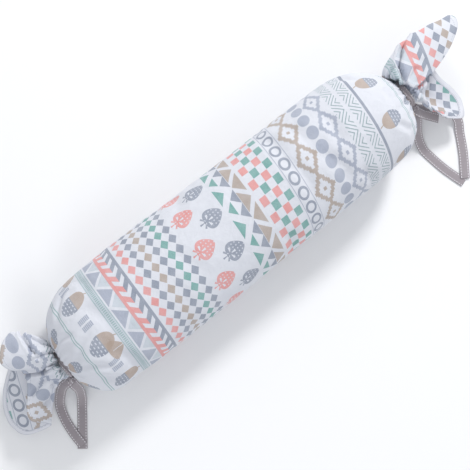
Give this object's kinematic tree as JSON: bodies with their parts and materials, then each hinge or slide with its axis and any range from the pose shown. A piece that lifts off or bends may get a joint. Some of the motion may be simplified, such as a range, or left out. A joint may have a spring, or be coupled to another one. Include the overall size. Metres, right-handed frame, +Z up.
{
  "type": "body pillow",
  "caption": "Long round body pillow: a filled printed cloth tube drawn in at both ends by a flat ribbon, with loose ruffled ends.",
  "frame": {"origin": "middle of the pillow's length on its flat underside, where it rests on the surface", "axes": "+X along the pillow towards the end with the long folded ear, +Y to the side away from the ribbon loops, +Z up"},
  "size_m": [0.9126, 0.2652, 0.1596],
  "materials": {
    "cover": "matte printed cotton",
    "ribbon": "matte woven tape"
  },
  "bodies": {
    "root": {"cover": "cover", "tie_left": "ribbon", "tie_right": "ribbon"}
  },
  "joints": []
}
